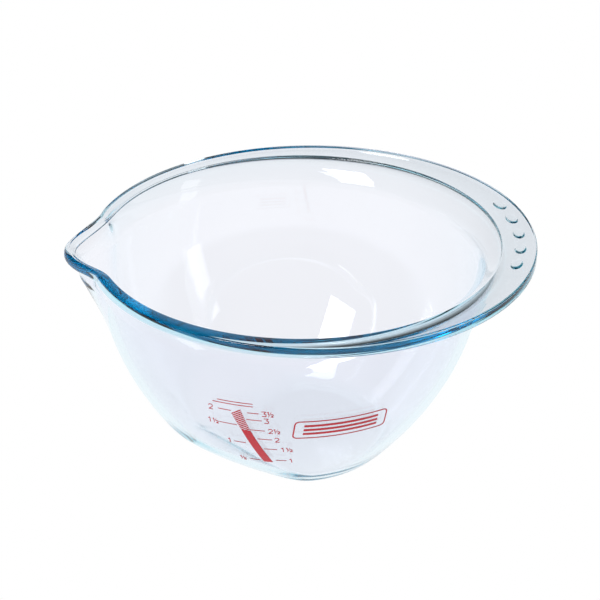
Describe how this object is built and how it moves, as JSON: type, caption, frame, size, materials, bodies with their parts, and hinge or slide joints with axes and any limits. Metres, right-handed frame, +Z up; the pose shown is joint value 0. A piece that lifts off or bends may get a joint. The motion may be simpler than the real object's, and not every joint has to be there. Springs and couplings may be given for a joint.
{
  "type": "mixing bowl",
  "caption": "Clear pressed glass mixing bowl with a pouring spout, an eccentric flange handle with thumb bumps, inclined flats for tilting and a red printed scale.",
  "frame": {"origin": "centre of the flat foot, on the table, on the axis of the round wall", "axes": "+Z up, +X towards the flange handle, -X towards the spout, +Y to the side away from the printed scale"},
  "size_m": [0.294, 0.279, 0.1429],
  "materials": {
    "glass": "clear, fire-polished, faint blue edge tint",
    "enamel": "fired enamel print, semi-gloss"
  },
  "bodies": {
    "root": {"glass_bowl": "glass", "scale_bar_solid": "enamel", "scale_bar_hatched": "enamel", "litre_ticks": "enamel", "litre_numerals": "enamel", "pint_ticks": "enamel", "pint_numerals": "enamel", "heading_rules": "enamel", "badge_frame": "enamel", "badge_bars": "enamel"}
  },
  "joints": []
}
